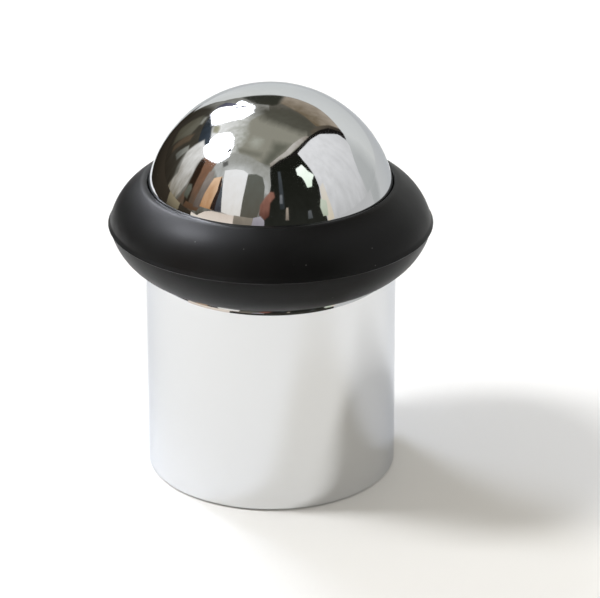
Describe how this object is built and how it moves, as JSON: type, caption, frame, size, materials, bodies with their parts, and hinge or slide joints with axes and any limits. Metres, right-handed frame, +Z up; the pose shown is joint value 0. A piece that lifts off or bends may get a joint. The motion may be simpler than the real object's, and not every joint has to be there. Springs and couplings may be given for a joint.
{
  "type": "dome door stop",
  "caption": "Floor door stop: a straight chromed barrel with a domed top and a rubber buffer ring held in a groove between them, with a tapped hole in its base for a fixing stud.",
  "frame": {"origin": "centre of the base, on the floor", "axes": "+Z up along the stop's axis, -Y towards the viewer of the picture"},
  "size_m": [0.0388, 0.0388, 0.048],
  "materials": {
    "chrome_plate": "bright mirror-polished chrome plating",
    "black_rubber": "satin moulded black rubber"
  },
  "bodies": {
    "root": {"stop_body": "chrome_plate", "buffer_ring": "black_rubber"}
  },
  "joints": []
}
